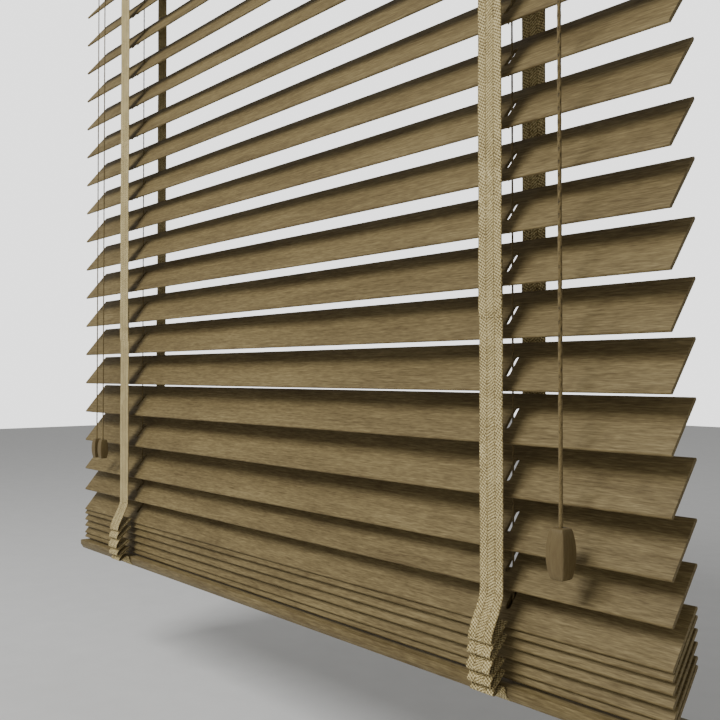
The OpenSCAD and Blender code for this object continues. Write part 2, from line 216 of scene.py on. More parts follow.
# %% Wood
# How fine each pattern is along the grain and across it, and how much detail it has.
PORES = (110, 1150, 2.0)
STREAKS = (34, 520, 3.0)
DRIFT = (7.0, 50, 2.0)
GRAIN_DEPTH = 0.5 * MM


def new_material(name):
    material = bpy.data.materials.new(name)
    material.use_nodes = True
    return material, Graph(material.node_tree)


def wood(name, dark, middle, light, along="X", roughness=0.58):
    material, g = new_material(name)
    place = g.add("ShaderNodeTexCoord", out="Object")
    x, y, z = g.split(place)
    run, side_a, side_b = (x, y, z) if along == "X" else (z, x, y)

    def figure(scales, distortion=0.0):
        run_scale, side_scale, detail = scales
        stretched = g.vector(run * run_scale, side_a * side_scale, side_b * side_scale)
        sockets = {"Vector": stretched, "Scale": 1.0, "Detail": detail, "Distortion": distortion}
        return g.add("ShaderNodeTexNoise", {"noise_dimensions": "3D"}, sockets)

    pores = figure(PORES)
    streaks = figure(STREAKS, distortion=0.5)
    drift = figure(DRIFT)
    tone = pores * 0.46 + streaks * 0.36 + drift * 0.26
    stops = [(0.4, dark), (0.55, middle), (0.7, light)]
    ramp = g.add("ShaderNodeValToRGB", {"stops": stops}, {0: tone})
    relief = pores * 0.7 + streaks * 0.3
    bump = g.add("ShaderNodeBump", None,
                 {"Height": relief, "Strength": 0.5, "Distance": GRAIN_DEPTH})
    shine = roughness + (0.5 - streaks) * 0.25
    surface = {"Base Color": ramp, "Roughness": shine, "Normal": bump, "Specular IOR Level": 0.25}
    shader = g.add("ShaderNodeBsdfPrincipled", None, surface)
    g.add("ShaderNodeOutputMaterial", None, {"Surface": shader})
    return material


slat_wood = wood("slat_wood", colour(90, 75, 45), colour(115, 100, 65), colour(139, 123, 84))
tassel_wood = wood("tassel_wood", colour(97, 81, 51), colour(105, 90, 58), colour(113, 98, 65),
                   along="Z", roughness=0.52)
print("wood:", slat_wood.name, tassel_wood.name)

# %% [markdown]
# Woven tape and braided cord: each mesh keeps where a point lies in the weave, in its own
# attribute, so the pattern follows the cloth round every fold. The hollows between threads are
# painted darker, as dust and painted shade, and the tops of the threads are painted paler, as a
# painted highlight. A fine noise breaks up the yarn.

# %% Yarn
THREAD_BUMP = 0.2 * MM


def yarn(g, height, hollow_dust_and_shade, middle, top_highlight, relief, fuzz_scale=1100.0):
    """Colours and bumps a surface from the height of its threads, 0 to 1: low threads are painted
    darker with dust and painted shade, high ones paler as a painted highlight.
    """
    place = g.add("ShaderNodeTexCoord", out="Object")
    fuzz = g.add("ShaderNodeTexNoise", None, {"Vector": place, "Scale": fuzz_scale, "Detail": 2.0})
    stain = g.add("ShaderNodeTexNoise", None, {"Vector": place, "Scale": 60.0, "Detail": 3.0})
    tone = height * 0.7 + fuzz * 1.3 + stain * 0.3 - 0.64
    # The hollow stop darkens the low threads with dust and painted shade; the top stop is a
    # painted highlight on the thread tops.
    stops = [(0.12, hollow_dust_and_shade), (0.45, middle), (0.9, top_highlight)]
    ramp = g.add("ShaderNodeValToRGB", {"stops": stops}, {0: tone})
    bump = g.add("ShaderNodeBump", None, {"Height": tone, "Strength": 0.7, "Distance": relief})
    surface = {"Base Color": ramp, "Roughness": 0.9, "Normal": bump, "Sheen Weight": 0.05}
    shader = g.add("ShaderNodeBsdfPrincipled", None, surface)
    g.add("ShaderNodeOutputMaterial", None, {"Surface": shader})


# The first colour of each yarn is dust with painted shade in the hollows, the last a painted
# highlight on the thread tops.
cord_fibre, g = new_material("cord_fibre")
strand = g.add("ShaderNodeAttribute", {"attribute_name": "thread"}, out="Fac")
yarn(g, strand, colour(48, 38, 17), colour(92, 77, 43), colour(120, 103, 64), THREAD_BUMP)
rung_thread, g = new_material("rung_thread")
strand = g.add("ShaderNodeAttribute", {"attribute_name": "thread"}, out="Fac")
yarn(g, strand, colour(78, 60, 28), colour(140, 120, 76), colour(176, 156, 110), THREAD_BUMP)
print("yarn:", cord_fibre.name, rung_thread.name)

# %% [markdown]
# Ladder tape is woven in a herringbone: bands of slanting threads that change hand from band to
# band. `phase` counts threads: it grows along the tape, and goes up and down across each band,
# so its whole numbers draw the zigzag. Each thread shows as a row of short stitches, and a
# darker seam runs where two bands meet. The same sum shapes the mesh and colours it.

# %% Herringbone
THREAD = 2.45 * MM
STITCH = 2.0 * MM
WEAVE_WANDER = 0.6
BANDS = 3.0
SLANT = 2.1
SEAM_SHARPNESS = 8
SELVEDGE_FROM = 0.44
FULL_TURN = 2 * math.pi


def wave(turns):
    """A sine between 0 and 1 that repeats with every whole turn."""
    return (turns * FULL_TURN).math("SINE") * 0.5 + 0.5


def herringbone(across, along):
    """Height of the weave, 0 to 1. across runs from -0.5 to 0.5 over the tape."""
    g = across.graph
    wander = {"Vector": g.vector(across * 3, along * 70, 0.0), "Scale": 1.0}
    pull = g.add("ShaderNodeTexNoise", None, wander)
    band = (across + 0.5) * BANDS
    zigzag = ((band * 0.5).math("FRACT") * 2 - 1).math("ABSOLUTE")
    phase = along * (1 / THREAD) + zigzag * SLANT + pull * WEAVE_WANDER
    ridge = wave(phase)
    stitch = wave(across * (TAPE_W / STITCH) + phase * 0.5)
    seam_distance = (band - band.math("ROUND")).math("ABSOLUTE")
    seam = 1 - (seam_distance * SEAM_SHARPNESS).math("MINIMUM", 1.0)
    edge = (across.math("ABSOLUTE") - SELVEDGE_FROM).math("MAXIMUM", 0.0) * 9
    return (ridge * 0.62 + stitch * 0.38) * (1 - seam * 0.5) * (1 - edge * 0.3)


tape_cloth, g = new_material("tape_cloth")
weave_place = g.add("ShaderNodeAttribute", {"attribute_name": "weave"}, out="Vector")
across, along, _ = g.split(weave_place)
# Here too the first colour is dust with painted shade in the hollows, the last a painted highlight
# on the thread tops.
yarn(g, herringbone(across, along), colour(80, 65, 33), colour(155, 137, 88),
     colour(230, 213, 160), relief=0.5 * MM, fuzz_scale=900.0)
print("herringbone:", tape_cloth.name)

# %% [markdown]
# The parts in the headrail are painted sheet, zinc-plated steel and nylon. Each has a slow noise
# in its roughness and a faint surface texture, as real coatings do.

# %% Hard finishes
def hard_finish(name, tint, worn, roughness, metallic=0.0, grain_scale=180.0,
                bump_height=0.08 * MM):
    material, g = new_material(name)
    place = g.add("ShaderNodeTexCoord", out="Object")
    cloud = g.add("ShaderNodeTexNoise", None, {"Vector": place, "Scale": 24.0, "Detail": 4.0})
    grain = g.add("ShaderNodeTexNoise", None,
                  {"Vector": place, "Scale": grain_scale, "Detail": 3.0})
    paint = g.mix(cloud.math("MULTIPLY_ADD", 1.6, -0.5), tint, worn)
    bump = g.add("ShaderNodeBump", None,
                 {"Height": grain, "Strength": 0.3, "Distance": bump_height})
    shine = roughness + (grain - 0.5) * 0.2
    surface = {"Base Color": paint, "Roughness": shine, "Metallic": metallic, "Normal": bump}
    shader = g.add("ShaderNodeBsdfPrincipled", None, surface)
    g.add("ShaderNodeOutputMaterial", None, {"Surface": shader})
    return material


enamel = hard_finish("enamel", colour(226, 221, 210), colour(214, 208, 196), 0.38)
nylon = hard_finish("nylon", colour(236, 232, 222), colour(222, 217, 205), 0.55,
                    grain_scale=420.0)
zinc = hard_finish("zinc", colour(176, 178, 180), colour(150, 153, 156), 0.34, metallic=1.0,
                   grain_scale=90.0)
print("hard finishes:", enamel.name, nylon.name, zinc.name)

# %% [markdown]
# Geometry Nodes trees share the same small steps: name the inputs, build, end in Realize
# Instances and Set Material, and turn the result into a plain mesh.

# %% Geometry Nodes steps
SOCKETS = {"float": "NodeSocketFloat", "int": "NodeSocketInt", "geometry": "NodeSocketGeometry",
           "material": "NodeSocketMaterial"}


def new_tree(name, inputs):
    tree = bpy.data.node_groups.new(name, "GeometryNodeTree")
    tree.interface.new_socket("Geometry", in_out="INPUT", socket_type=SOCKETS["geometry"])
    for label, kind in inputs.items():
        tree.interface.new_socket(label, in_out="INPUT", socket_type=SOCKETS[kind])
    tree.interface.new_socket("Geometry", in_out="OUTPUT", socket_type=SOCKETS["geometry"])
    g = Graph(tree)
    return tree, g, g.add("NodeGroupInput")


def end_tree(g, geometry, start):
    real = g.add("GeometryNodeRealizeInstances", None, {"Geometry": geometry})
    smooth = g.add("GeometryNodeSetShadeSmooth", None, {"Geometry": real})
    dressed = g.add("GeometryNodeSetMaterial", None,
                    {"Geometry": smooth, "Material": start.out("Material")})
    g.add("NodeGroupOutput", None, {0: dressed})


def grown(name, tree, values, base=None, crease=40):
    """A plain mesh object made by a tree, from its named inputs."""
    data = base or bpy.data.meshes.new(name)
    maker = bpy.data.objects.new(name + "_maker", data)
    bpy.context.scene.collection.objects.link(maker)
    modifier = maker.modifiers.new("tree", "NODES")
    modifier.node_group = tree
    for item in tree.interface.items_tree:
        if item.in_out == "INPUT" and item.name in values:
            modifier[item.identifier] = values[item.name]
    seen = maker.evaluated_get(bpy.context.evaluated_depsgraph_get())
    mesh = bpy.data.meshes.new_from_object(seen)
    bpy.data.objects.remove(maker)
    mesh.name = name
    mesh.set_sharp_from_angle(angle=math.radians(crease))
    piece = bpy.data.objects.new(name, mesh)
    bpy.context.scene.collection.objects.link(piece)
    return piece


def joined(name, parts):
    """One mesh from several pieces, with their materials and attributes."""
    whole = parts[0]
    with bpy.context.temp_override(active_object=whole, object=whole,
                                   selected_editable_objects=parts):
        bpy.ops.object.join()
    whole.name = name
    whole.data.name = name
    return whole


print("steps ready")

# %% [markdown]
# The cords: a lift cord rises through each ladder, runs along the headrail to the lock, and the
# two leave it as one pull cord over a pulley. The tilt cord hangs over the tilter's spool as two
# ends. Their routes are lists of points, in millimetres, as in the working model.

# %% Cord routes
LIFT_LEFT = [(356.6, -25.6, -40.6), (348, -18, -43.4), (338, -6, -45.8), (330, -2.4, -46),
             (-314, -2.4, -46), (-317, -2.2, -46.6), (-319.5, -1, -48.6), (-321, 0, -52),
             (-321, 0, -100), (-321, 0, -917)]
LIFT_RIGHT = [(357.9, -24.2, -40.6), (349, -15.8, -43.4), (340, -3.4, -45.8), (334, 0, -46),
              (328, 0, -46), (324.6, 0, -46.7), (322, 0, -49), (321, 0, -52), (321, 0, -100),
              (321, 0, -917)]
PULL = [(357.5, -25, -40.6), (361, -28, -39.4), (366, -31.6, -38), (372, -34.2, -37),
        (378, -35, -36.6), (385.5, -35, -36.5), (388.6, -35, -37.1), (391.2, -35, -38.8),
        (392.9, -35, -41.4), (393.5, -35, -44.5), (393.5, -35, -60), (393.5, -35, -200),
        (393.5, -35, -400), (393.5, -35, -600), (393.5, -35, -786)]
TILT_LEFT = [(-378.7, -35, -32.55), (-382, -35, -33.3), (-385.2, -35, -35.4),
             (-387.3, -35, -38.6), (-388, -35, -42.3), (-388, -35, -60), (-388, -35, -250),
             (-388, -35, -500), (-388, -35, -764)]
TILT_RIGHT = [(-377.8, -35, -32.55), (-374.5, -35, -33.3), (-371.3, -35, -35.4),
              (-369.2, -35, -38.6), (-368.5, -35, -42.3), (-368.5, -35, -60),
              (-368.5, -35, -250), (-368.5, -35, -500), (-368.5, -35, -764)]
LIFT_D = 1.6 * MM
PULL_D = 3.0 * MM
TILT_D = 1.6 * MM


def metres(route):
    return [Vector(p) * MM for p in route]


def length_of(points):
    return sum((b - a).length for a, b in zip(points, points[1:]))


print("pull cord", round(length_of(metres(PULL)), 3), "m")
print("tilt cords", round(length_of(metres(TILT_LEFT)), 3), "m each")

# %% [markdown]
# A braided cord is a round tube with two sets of strands that wind opposite ways. The tree
# sweeps a circle along the route, keeps the distance along it and round it, and lifts the
# surface where a strand passes over.

# %% Cord tree
CORD_SIDES = 10
CORE_SHARE = 0.47


def captured(g, geometry, name, value):
    """Keeps a value on the points, so that it lasts when they become a tube."""
    marked = g.add("GeometryNodeCaptureAttribute", {"domain": "POINT"}, {"Geometry": geometry})
    marked.socket.node.capture_items.new("FLOAT", name)
    g.tree.links.new(value.socket, marked.socket.node.inputs[1])
    return marked


def cord_tree():
    inputs = {"Diameter": "float", "Step": "float", "Strand": "float", "Relief": "float",
              "Material": "material"}
    tree, g, start = new_tree("braided_cord", inputs)
    sampled = g.add("GeometryNodeResampleCurve", {"mode": "LENGTH"},
                    {"Curve": start, "Length": start.out("Step")})
    along = g.add("GeometryNodeSplineParameter", out="Length")
    marked = captured(g, sampled, "along", along)
    ring = g.add("GeometryNodeCurvePrimitiveCircle", None,
                 {"Resolution": CORD_SIDES, "Radius": start.out("Diameter") * CORE_SHARE})
    turn = g.add("GeometryNodeSplineParameter", out="Factor")
    ring_marked = captured(g, ring, "turn", turn)
    tube = g.add("GeometryNodeCurveToMesh", None,
                 {"Curve": marked, "Profile Curve": ring_marked, "Fill Caps": True})
    wind = marked.out("along") / start.out("Strand")
    angle = ring_marked.out("turn") * 2.0
    left = ((wind + angle) * FULL_TURN).math("SINE")
    right = ((wind - angle) * FULL_TURN).math("SINE")
    strand = left.math("MAXIMUM", right) * 0.5 + 0.5
    normal = g.add("GeometryNodeInputNormal")
    rise = (strand - 0.5) * start.out("Relief")
    lift = g.add("ShaderNodeVectorMath", {"operation": "SCALE"}, {0: normal, "Scale": rise})
    raised = g.add("GeometryNodeSetPosition", None, {"Geometry": tube, "Offset": lift})
    kept = g.add("GeometryNodeStoreNamedAttribute", {"data_type": "FLOAT", "domain": "POINT"},
                 {"Geometry": raised, "Name": "thread", "Value": strand})
    end_tree(g, kept, start)
    return tree


braided_cord = cord_tree()
print("tree", braided_cord.name)

# %% [markdown]
# Bends round a pulley are drawn through their points with a centripetal spline, which stays
# close to the points and never loops.

# %% Cords
def eased(points, per_span=6, longest_span=0.03):
    """Points of a smooth curve through the given ones; long spans stay straight."""
    ends = [2 * points[0] - points[1], *points, 2 * points[-1] - points[-2]]
    out = []
    for a, b, c, d in zip(ends, ends[1:], ends[2:], ends[3:]):
        if (c - b).length > longest_span:
            out.append(b)
            continue
        t = [0.0]
        for p, q in ((a, b), (b, c), (c, d)):
            t.append(t[-1] + max((q - p).length, 1e-6) ** 0.5)
        for step in range(per_span):
            at = t[1] + (t[2] - t[1]) * step / per_span
            ab = a.lerp(b, (at - t[0]) / (t[1] - t[0]))
            bc = b.lerp(c, (at - t[1]) / (t[2] - t[1]))
            cd = c.lerp(d, (at - t[2]) / (t[3] - t[2]))
            abc = ab.lerp(bc, (at - t[0]) / (t[2] - t[0]))
            bcd = bc.lerp(cd, (at - t[1]) / (t[3] - t[1]))
            out.append(abc.lerp(bcd, (at - t[1]) / (t[2] - t[1])))
    return [*out, points[-1]]


def line_of(name, points):
    curve = bpy.data.curves.new(name + "_line", "CURVE")
    curve.dimensions = "3D"
    spline = curve.splines.new("POLY")
    spline.points.add(len(points) - 1)
    for knot, point in zip(spline.points, points):
        knot.co = (*point, 1)
    return curve


def braided(name, points, diameter, step=1.5 * MM):
    values = {"Diameter": diameter, "Step": step, "Strand": 3.2 * diameter,
              "Relief": 0.1 * diameter, "Material": cord_fibre}
    return grown(name, braided_cord, values, line_of(name, points), crease=80)


cords = {}
for name, route, size, step in (("lift_cord_left", LIFT_LEFT, LIFT_D, 3 * MM),
                                ("lift_cord_right", LIFT_RIGHT, LIFT_D, 3 * MM),
                                ("pull_cord", PULL, PULL_D, 1.5 * MM),
                                ("tilt_cord_left", TILT_LEFT, TILT_D, 2 * MM),
                                ("tilt_cord_right", TILT_RIGHT, TILT_D, 2 * MM)):
    piece = braided(name + "_braid", eased(metres(route)), size, step)
    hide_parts(name)
    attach(piece, "root")
    cords[name] = piece
print("cords:", {name: len(piece.data.polygons) for name, piece in cords.items()})

# %% [markdown]
# When a cord is pulled, its tassel goes down. A cord here can't grow, so a tail rides with each
# tassel: at rest it lies along the cord, and as the tassel drops it comes out of it.

# %% Cord tails
RAISE_TRAVEL = 0.2046
TILT_TRAVEL = 0.143
TILT_RIGHT_TRAVEL = 0.03
TAIL_SPARE = 0.012
TAIL_FOOT = 0.5 * MM
TAIL_OVER_CORD = 1.04
HANG_Y = -0.035
for name, cord_name, size, reach, body in (
        ("lift_tail", "pull_cord", PULL_D, RAISE_TRAVEL, "lift_tassel"),
        ("tilt_tail_left", "tilt_cord_left", TILT_D, TILT_TRAVEL, "tilt_tassel_left"),
        ("tilt_tail_right", "tilt_cord_right", TILT_D, TILT_RIGHT_TRAVEL, "tilt_tassel_right")):
    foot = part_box(cord_name)[0].z
    last_ring = cords[cord_name].data.vertices[-CORD_SIDES:]
    middle = sum(v.co.x for v in last_ring) / CORD_SIDES
    points = [Vector((middle, HANG_Y, foot + reach + TAIL_SPARE)),
              Vector((middle, HANG_Y, foot + TAIL_FOOT))]
    tail = braided(name, points, size * TAIL_OVER_CORD)
    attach(tail, body)

# %% [markdown]
# Tassels are square wooden barrels with softly rounded edges: a stack of rounded squares that
# swell to the middle, and a dimple at the top where the cord goes in. A loop over rings is all
# it takes.

# %% Tassels
TASSEL_RINGS = 22
CORNER_STEPS = 6
END_SHARE = 0.68
BELLY_SHARE = 1 - END_SHARE


def tassel(name, node, knot_r):
    low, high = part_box(node)
    middle, half = (low + high) / 2, (high.x - low.x) / 2
    height = high.z - low.z
    chamfer = 0.06 * half
    mesh = bmesh.new()

    def rounded_square(size, round_r, z):
        points = []
        for corner in range(4):
            diagonal = math.radians(45 + 90 * corner)
            cx = middle.x + math.copysign(size - round_r, math.cos(diagonal))
            cy = middle.y + math.copysign(size - round_r, math.sin(diagonal))
            for step in range(CORNER_STEPS + 1):
                angle = math.radians(90 * corner + 90 * step / CORNER_STEPS)
                points.append((cx + round_r * math.cos(angle), cy + round_r * math.sin(angle), z))
        return [mesh.verts.new(p) for p in points]

    def ring_under(loop, z):
        """A round loop of the cord hole, one point for each point of the square one."""
        turns = [math.atan2(v.co.y - middle.y, v.co.x - middle.x) for v in loop]
        return [mesh.verts.new((middle.x + knot_r * math.cos(turn),
                                middle.y + knot_r * math.sin(turn), z)) for turn in turns]

    def bridge(outer, inner, turned):
        for k, following in enumerate([*range(1, len(outer)), 0]):
            face = (outer[following], inner[following], inner[k], outer[k])
            mesh.faces.new(face if turned else face[::-1])

    loops = []
    for i in range(TASSEL_RINGS + 1):
        t = i / TASSEL_RINGS
        swell = math.sin(math.pi * t) ** 0.75
        size = half * (END_SHARE + BELLY_SHARE * swell) * 0.998
        loops.append(rounded_square(size, 0.13 * half, high.z - t * height))
    for v in loops[0] + loops[-1]:
        v.co.z += -chamfer if v.co.z > middle.z else chamfer
    end_size = half * END_SHARE - 2.2 * chamfer
    top_in = rounded_square(end_size, 0.1 * half, high.z)
    foot_in = rounded_square(end_size, 0.1 * half, low.z)
    loops = [top_in, *loops, foot_in]
    for upper, lower in zip(loops, loops[1:]):
        bridge(upper, lower, True)
    for loop, z, depth in ((top_in, high.z, -3 * knot_r), (foot_in, low.z, 2 * knot_r)):
        rim, bottom = ring_under(loop, z), ring_under(loop, z + depth)
        bridge(loop, rim, depth < 0)
        bridge(rim, bottom, depth < 0)
        mesh.faces.new(bottom if depth < 0 else bottom[::-1])
    bmesh.ops.recalc_face_normals(mesh, faces=mesh.faces)
    data = bpy.data.meshes.new(name)
    mesh.to_mesh(data)
    data.shade_smooth()
    data.set_sharp_from_angle(angle=math.radians(35))
    data.materials.append(tassel_wood)
    piece = bpy.data.objects.new(name, data)
    bpy.context.scene.collection.objects.link(piece)
    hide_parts(node)
    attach(piece, node)
    return piece


tassels = {node: tassel(node + "_block", node, knot) for node, knot in
           (("lift_tassel", 2.0 * MM), ("tilt_tassel_left", 1.3 * MM),
            ("tilt_tassel_right", 1.3 * MM))}
print("tassels:", list(tassels))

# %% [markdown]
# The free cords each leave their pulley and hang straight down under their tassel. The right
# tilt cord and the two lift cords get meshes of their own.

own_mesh(cords["tilt_cord_right"])
for side in ("left", "right"):
    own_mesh(cords["lift_cord_" + side])

# %% [markdown]
# A slat is a long thin board with full round edges and two slots for the lift cords. A cylinder
# bent to a flat, round-ended section gives the board in one step, and a boolean cuts the slots.
# No two boards are quite alike, so each has its own slight bow, from its number. The boards in
# the stack lie on each other and are pressed nearly straight.

# %% Slat tree
ROUND_POINTS = 28
BOW_WAVES = 5.3
BOW_STEP = 2.399


def stadium(long_half, round_r, across, up):
    """Moves a unit circle's point to a flat section with round ends."""
    side = across.math("SIGN")
    return side * (long_half - round_r) + across * round_r, up * round_r


def slat_tree():
    inputs = {"Length": "float", "Width": "float", "Thickness": "float", "Tilt": "float",
              "Height": "float", "Ladder X": "float", "Slot Length": "float",
              "Slot Width": "float", "Bow": "float", "Number": "float", "Material": "material"}
    tree, g, start = new_tree("slat", inputs)
    sized = {"Vertices": ROUND_POINTS, "Side Segments": 60, "Radius": 1.0,
             "Depth": start.out("Length")}
    rod = g.add("GeometryNodeMeshCylinder", {"fill_type": "NGON"}, sized)
    x, y, z = g.split(g.add("GeometryNodeInputPosition"))
    half_w, half_t = start.out("Width") * 0.5, start.out("Thickness") * 0.5
    across, up = stadium(half_w, half_t, x, y)
    share = z / start.out("Length")
    sway = (share * BOW_WAVES + start.out("Number") * BOW_STEP).math("SINE")
    bow = sway * start.out("Bow") * (1 - share * share * 4)
    board = g.add("GeometryNodeSetPosition", None,
                  {"Geometry": rod, "Position": g.vector(z, across, up + bow)})
    hole = g.add("GeometryNodeMeshCylinder", {"fill_type": "NGON"},
                 {"Vertices": ROUND_POINTS, "Radius": 1.0, "Depth": start.out("Thickness") * 3})
    slot_l, slot_w = start.out("Slot Length") * 0.5, start.out("Slot Width") * 0.5
    slot_run, slot_side = stadium(slot_l, slot_w, y, x)
    cutter = g.add("GeometryNodeSetPosition", None,
                   {"Geometry": hole, "Position": g.vector(slot_side, slot_run, z)})
    spots = g.add("GeometryNodeMeshLine", None,
                  {"Count": 2, "Start Location": g.vector(start.out("Ladder X") * -1, 0.0, 0.0),
                   "Offset": g.vector(start.out("Ladder X") * 2, 0.0, 0.0)})
    cutters = g.add("GeometryNodeInstanceOnPoints", None, {"Points": spots, "Instance": cutter})
    solid = g.add("GeometryNodeRealizeInstances", None, {"Geometry": cutters})
    cut = g.add("GeometryNodeMeshBoolean", {"operation": "DIFFERENCE", "solver": "EXACT"},
                {0: board, 1: solid})
    turned = g.add("GeometryNodeTransform", None,
                   {"Geometry": cut, "Rotation": g.vector(start.out("Tilt"), 0.0, 0.0),
                    "Translation": g.vector(0.0, 0.0, start.out("Height"))})
    end_tree(g, turned, start)
    return tree


slat_maker = slat_tree()
print("tree", slat_maker.name)

# %% Slats
FREE_BOW = 0.35 * MM
PRESSED_BOW = 0.08 * MM
slats = {}
for number, node in enumerate(slat_names, 1):
    values = {"Length": blind_w, "Width": SLAT_W, "Thickness": SLAT_T, "Tilt": SLAT_TILT,
              "Height": slat_z[number], "Ladder X": ladder_x, "Slot Length": SLOT_L,
              "Slot Width": SLOT_W, "Bow": FREE_BOW if number < STACKED_FROM else PRESSED_BOW,
              "Number": float(number), "Material": slat_wood}
    slats[number] = grown(node + "_board", slat_maker, values)
    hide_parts(node)
    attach(slats[number], node)
print("slats:", len(slats), "of", len(slats[1].data.polygons), "faces")

# %% [markdown]
# Each slat lies on the ladders' rungs: two woven threads at each ladder, close under the slat.
# They turn with it, so each pair of rungs is built in the slat's own slant. They stop just
# inside its edges, because the tapes here stand too far out for straight rungs to meet.

# %% Rungs
RUNG_R = 0.55 * MM
RUNG_SPREAD = 15 * MM
RUNG_INSET = 1.5 * MM
RUNG_TWIST = 2 * MM


def rung_tree():
    inputs = {"Length": "float", "Radius": "float", "Drop": "float", "Tilt": "float",
              "Height": "float", "Ladder X": "float", "Spread": "float", "Material": "material"}
    tree, g, start = new_tree("rungs", inputs)
    bar = g.add("GeometryNodeMeshCylinder", {"fill_type": "NGON"},
                {"Vertices": 8, "Side Segments": 24, "Radius": start.out("Radius"),
                 "Depth": start.out("Length")})
    _, _, z = g.split(g.add("GeometryNodeInputPosition"))
    twist = wave(z * (1 / RUNG_TWIST))
    marked = g.add("GeometryNodeStoreNamedAttribute", {"data_type": "FLOAT", "domain": "POINT"},
                   {"Geometry": bar, "Name": "thread", "Value": twist})
    laid = g.add("GeometryNodeTransform", None,
                 {"Geometry": marked, "Rotation": (math.pi / 2, 0, 0)})
    pair = g.add("GeometryNodeMeshLine", None,
                 {"Count": 2, "Start Location": g.vector(start.out("Spread") * -0.5, 0.0, 0.0),
                  "Offset": g.vector(start.out("Spread"), 0.0, 0.0)})
    two = g.add("GeometryNodeInstanceOnPoints", None, {"Points": pair, "Instance": laid})
    left_end = g.vector(start.out("Ladder X") * -1, 0.0, start.out("Drop") * -1)
    ladders = g.add("GeometryNodeMeshLine", None,
                    {"Count": 2, "Start Location": left_end,
                     "Offset": g.vector(start.out("Ladder X") * 2, 0.0, 0.0)})
    four = g.add("GeometryNodeInstanceOnPoints", None, {"Points": ladders, "Instance": two})
    turned = g.add("GeometryNodeTransform", None,
                   {"Geometry": four, "Rotation": g.vector(start.out("Tilt"), 0.0, 0.0),
                    "Translation": g.vector(0.0, 0.0, start.out("Height"))})
    end_tree(g, turned, start)
    return tree


rung_maker = rung_tree()
for number, node in enumerate(slat_names, 1):
    values = {"Length": SLAT_W - 2 * RUNG_INSET, "Radius": RUNG_R, "Drop": SLAT_T / 2 + RUNG_R,
              "Tilt": SLAT_TILT, "Height": slat_z[number], "Ladder X": ladder_x,
              "Spread": RUNG_SPREAD, "Material": rung_thread}
    rungs = grown(node + "_rungs", rung_maker, values)
    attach(rungs, node)
print("rungs:", len(rungs.data.polygons), "faces a slat")

# %% [markdown]
# The tape tree lays a fine grid along a path, which is how the straight runs and the gathered
# folds come from one tree, keeps the place of every point in the weave, and lifts it by the
# same herringbone.

# %% Tape tree
RIPPLE_ALONG = 46
RIPPLE_ACROSS = 70


def tape_tree():
    inputs = {"Width": "float", "Across": "int", "Step": "float", "Relief": "float",
              "Ripple": "float", "X": "float", "Shift": "float", "Material": "material"}
    tree, g, start = new_tree("woven_tape", inputs)
    total = g.add("GeometryNodeCurveLength", None, {"Curve": start})
    rows = (total / start.out("Step")).math("CEIL") + 1
    grid = g.add("GeometryNodeMeshGrid", None,
                 {"Size X": start.out("Width"), "Size Y": total,
                  "Vertices X": start.out("Across"), "Vertices Y": rows})
    u, v, _ = g.split(g.add("GeometryNodeInputPosition"))
    run = v + total * 0.5
    across, along = u / start.out("Width"), run + start.out("Shift")
    kept = g.add("GeometryNodeStoreNamedAttribute",
                 {"data_type": "FLOAT_VECTOR", "domain": "POINT"},
                 {"Geometry": grid, "Name": "weave", "Value": g.vector(across, along, 0.0)})
    path = g.add("GeometryNodeSampleCurve", {"mode": "LENGTH"},
                 {"Curves": start, "Length": run})
    out = g.add("ShaderNodeVectorMath", {"operation": "CROSS_PRODUCT"},
                {0: path.out("Tangent"), 1: (1, 0, 0)})
    ripple = (along * RIPPLE_ALONG + u * RIPPLE_ACROSS).math("SINE") * start.out("Ripple")
    height = (herringbone(across, along) - 0.5) * start.out("Relief") + ripple
    lift = g.add("ShaderNodeVectorMath", {"operation": "SCALE"}, {0: out, "Scale": height})
    centre_line = g.add("ShaderNodeVectorMath", {"operation": "ADD"},
                        {0: path.out("Position"), 1: g.vector(u + start.out("X"), 0.0, 0.0)})
    placed = g.add("ShaderNodeVectorMath", {"operation": "ADD"}, {0: centre_line, 1: lift})
    sheet = g.add("GeometryNodeSetPosition", None, {"Geometry": kept, "Position": placed})
    end_tree(g, sheet, start)
    return tree


woven_tape = tape_tree()
print("tree", woven_tape.name)

# %% Tape maker
TAPE_STEP = 0.6 * MM
TAPE_ACROSS = 37
SHEET_SHARE = 0.55
STRIP_END = 8 * MM


def tape(name, points, x, shift, ripple=0.18 * MM, relief=0.32 * MM):
    values = {"Width": TAPE_W, "Across": TAPE_ACROSS, "Step": TAPE_STEP, "Relief": relief,
              "Ripple": ripple, "X": x, "Shift": shift, "Material": tape_cloth}
    piece = grown(name, woven_tape, values, line_of(name, points), crease=180)
    thick = piece.modifiers.new("thickness", "SOLIDIFY")
    thick.thickness = TAPE_T * SHEET_SHARE
    thick.offset = 0
    seen = piece.evaluated_get(bpy.context.evaluated_depsgraph_get())
    mesh = bpy.data.meshes.new_from_object(seen)
    piece.modifiers.clear()
    piece.data = mesh
    return piece


def strip(name, face, x, low, high, proud=0.0):
    """A straight run. A proud one comes in to the cloth behind it over its last stretch."""
    y, end_y = face * (tape_y + proud), face * (tape_y + proud * 0.4)
    line = [Vector((0, y, high)), Vector((0, y, low + STRIP_END)), Vector((0, end_y, low))]
    return tape(name, line, x, -high)


SIDES = {"left": -1, "right": 1}
FACES = {"front": -1, "rear": 1}
print("tape maker ready")

# %% [markdown]
# The tapes above slat 13 run up and down as the slats tilt. They reach a little past it, in
# front of the lower ladder, so that no gap opens there when they run up.

# %% Upper tapes
TAPE_RUN = 0.045
LAP = 0.9 * MM
for face, sign in FACES.items():
    low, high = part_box(face + "_tapes")
    for side, hand in SIDES.items():
        piece = strip(f"{face}_tape_{side}", sign, hand * ladder_x, low.z - TAPE_RUN, high.z,
                      proud=LAP)
        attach(piece, face + "_tapes")
        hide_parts(face + "_tapes")
print("upper tapes:", len(piece.data.polygons), "faces each")

# %% [markdown]
# Below, one short ladder length sits between each pair of slats. It rides with the lower slat's
# carrier and gathers up as the blind is raised.

